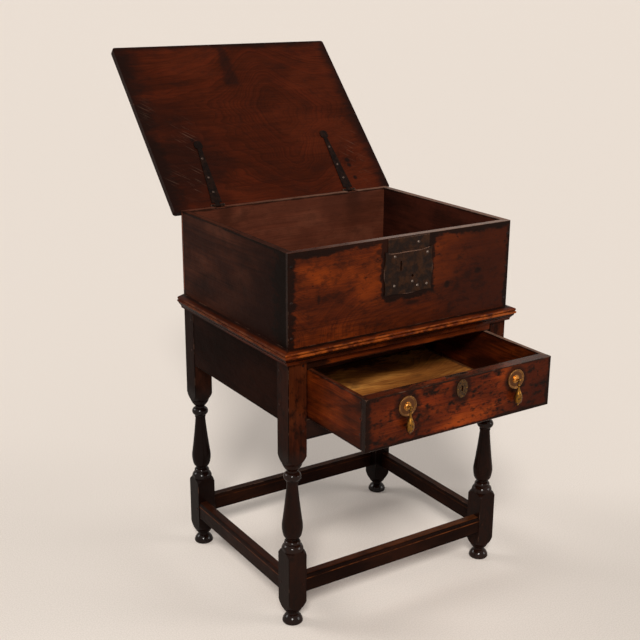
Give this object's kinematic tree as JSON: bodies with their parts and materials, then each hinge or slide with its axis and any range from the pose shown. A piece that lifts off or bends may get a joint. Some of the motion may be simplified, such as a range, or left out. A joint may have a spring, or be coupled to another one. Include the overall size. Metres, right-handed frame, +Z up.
{
  "type": "bible box on stand",
  "caption": "Oak bible box with a strap-hinged lid, fixed on a joined stand with turned baluster legs, box stretchers and a drawer with pear drop handles.",
  "frame": {"origin": "on the floor at the middle of the four feet", "axes": "+Z up; +Y to the back, where the lid is hinged; the drawer opens towards -Y; +X to the right seen from the front"},
  "size_m": [0.636, 1.0687, 1.2287],
  "materials": {
    "oak_dark": "dark waxed oak, glossy on the turnings",
    "oak_front": "warm red-brown waxed oak, worn in the middle",
    "oak_lid": "red-brown oak, dull",
    "oak_side": "orange-brown oak, dry",
    "oak_raw": "unfinished golden oak",
    "iron": "dark hand-forged iron, waxed",
    "brass": "aged brass, worn bright on the high spots"
  },
  "bodies": {
    "stand": {"leg_front_left": "oak_dark", "leg_front_right": "oak_dark", "leg_back_left": "oak_dark", "leg_back_right": "oak_dark", "top_rail": "oak_dark", "lower_rail": "oak_dark", "frieze_back": "oak_dark", "frieze_left": "oak_dark", "frieze_right": "oak_dark", "stretcher_front": "oak_dark", "stretcher_back": "oak_dark", "stretcher_left": "oak_dark", "stretcher_right": "oak_dark", "runner_left": "oak_raw", "runner_right": "oak_raw", "guide_left": "oak_raw", "guide_right": "oak_raw", "kicker_left": "oak_raw", "kicker_right": "oak_raw", "frame_pegs": "oak_dark", "moulding_front": "oak_dark", "moulding_left": "oak_dark", "moulding_right": "oak_dark", "box_front": "oak_front", "box_back": "oak_dark", "box_left": "oak_dark", "box_right": "oak_dark", "box_floor": "oak_raw", "box_nails": "iron", "box_lock_case": "iron", "lock_plate": "iron", "lock_plate_nails": "iron", "hinge_leaf_left": "iron", "hinge_leaf_right": "iron", "hinge_pin_left": "iron", "hinge_pin_right": "iron", "leaf_nails": "iron"},
    "lid": {"lid_board": "oak_lid", "hinge_strap_left": "iron", "hinge_strap_right": "iron", "strap_nails": "iron"},
    "drawer": {"drawer_front": "oak_front", "drawer_side_left": "oak_side", "drawer_side_right": "oak_side", "drawer_back": "oak_raw", "drawer_floor": "oak_raw", "drawer_nails": "iron", "drawer_lock_case": "iron", "scutcheon": "brass", "scutcheon_pins": "brass", "rose_left": "brass", "rose_right": "brass", "handle_wire_left": "brass", "handle_wire_right": "brass"},
    "drop_left": {"handle_drop_left": "brass"},
    "drop_right": {"handle_drop_right": "brass"},
    "box_bolt": {"box_lock_bolt": "iron"},
    "drawer_bolt": {"drawer_lock_bolt": "iron"}
  },
  "joints": [
    {"name": "lid_hinge", "type": "hinge", "parent": "stand", "child": "lid", "pos_m": [0, 0.2493, 0.8723], "axis": [1, 0, 0], "range_deg": [0, 133]},
    {"name": "drawer_slide", "type": "slide", "parent": "stand", "child": "drawer", "axis": [0, -1, 0], "range_m": [-0.21, 0.11]},
    {"name": "drop_left_swing", "type": "hinge", "parent": "drawer", "child": "drop_left", "pos_m": [-0.146, -0.4665, 0.58], "axis": [-1, 0, 0], "range_deg": [-2, 85]},
    {"name": "drop_right_swing", "type": "hinge", "parent": "drawer", "child": "drop_right", "pos_m": [0.146, -0.4665, 0.58], "axis": [-1, 0, 0], "range_deg": [-2, 85]},
    {"name": "box_bolt_throw", "type": "slide", "parent": "stand", "child": "box_bolt", "axis": [1, 0, 0], "range_m": [0, 0.014]},
    {"name": "drawer_bolt_throw", "type": "slide", "parent": "drawer", "child": "drawer_bolt", "axis": [0, 0, 1], "range_m": [0, 0.009]}
  ]
}
